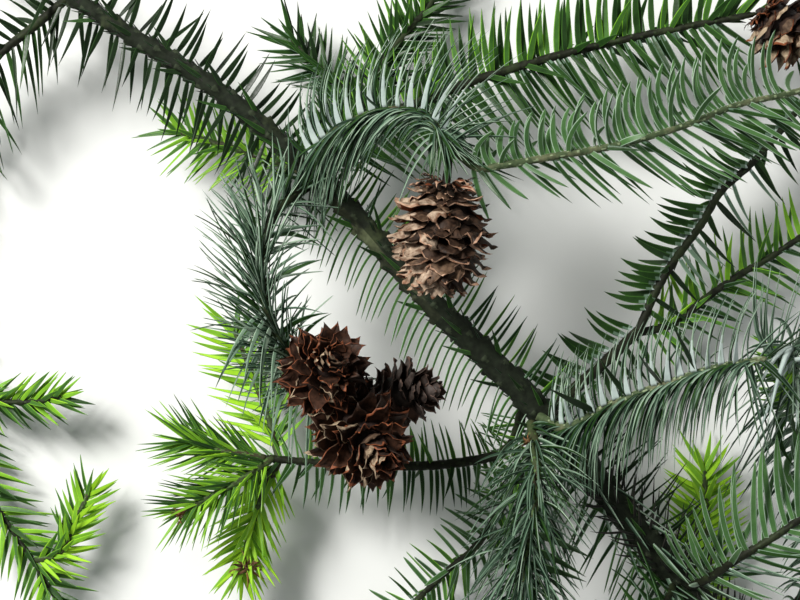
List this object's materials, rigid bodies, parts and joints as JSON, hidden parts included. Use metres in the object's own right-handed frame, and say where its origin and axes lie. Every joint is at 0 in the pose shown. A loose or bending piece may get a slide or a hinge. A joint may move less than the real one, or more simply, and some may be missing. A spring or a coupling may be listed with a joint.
{
  "type": "china fir branch with cones",
  "caption": "Cut conifer branch lying flat: a bent main stem, side sprays of flat pointed needles and egg-shaped brown cones, seen as in a close view from above.",
  "frame": {"origin": "centre of the underside of the bounding box, on the surface that the branch lies on", "axes": "+X to the right and +Y up across the branch as it is looked down on, with the cut butt at +X -Y and the growing tip at -X +Y; +Z up from the surface"},
  "size_m": [0.3875, 0.3258, 0.1118],
  "materials": {
    "bark": "rough grey-brown bark with leaf bases",
    "needles_dark": "satin dark green leaf",
    "needles_green": "satin mid green leaf",
    "needles_glaucous": "waxy blue-green leaf, whitish beneath",
    "needles_fresh": "satin yellow-green young leaf",
    "cone": "dull brown woody scale"
  },
  "bodies": {
    "root": {"main_stem": "bark", "back_bough": "bark", "butt_needles_below": "needles_green", "foot_needles_above": "needles_dark", "foot_needles_below": "needles_green", "middle_needles_above": "needles_dark", "middle_needles_below": "needles_green", "leader_needles_above": "needles_dark", "leader_needles_below": "needles_dark", "arching_spray": "needles_glaucous", "green_spray": "needles_green", "pale_spray": "needles_glaucous", "drooping_spray": "needles_glaucous", "hanging_spray": "needles_glaucous", "low_spray": "needles_green", "low_left_spray": "needles_green", "long_spray": "needles_dark", "dark_spray": "needles_dark", "middle_spray": "needles_green", "left_spray": "needles_dark", "under_spray": "needles_dark", "far_spray": "needles_dark", "back_spray": "needles_dark", "fresh_spray_left": "needles_fresh", "fresh_spray_right": "needles_fresh", "facing_spray": "needles_glaucous", "shoot_left": "needles_green", "shoot_low_left": "needles_green", "shoot_down": "needles_fresh", "shoot_up": "needles_fresh", "corner_spray": "needles_dark", "side_spray": "needles_dark", "drop_spray": "needles_dark", "reach_spray": "needles_green", "fresh_shoot_far": "needles_fresh", "leader_tip": "needles_dark", "cone_single": "cone", "cone_left": "cone", "cone_low": "cone", "cone_right": "cone", "cone_far": "cone"}
  },
  "joints": []
}
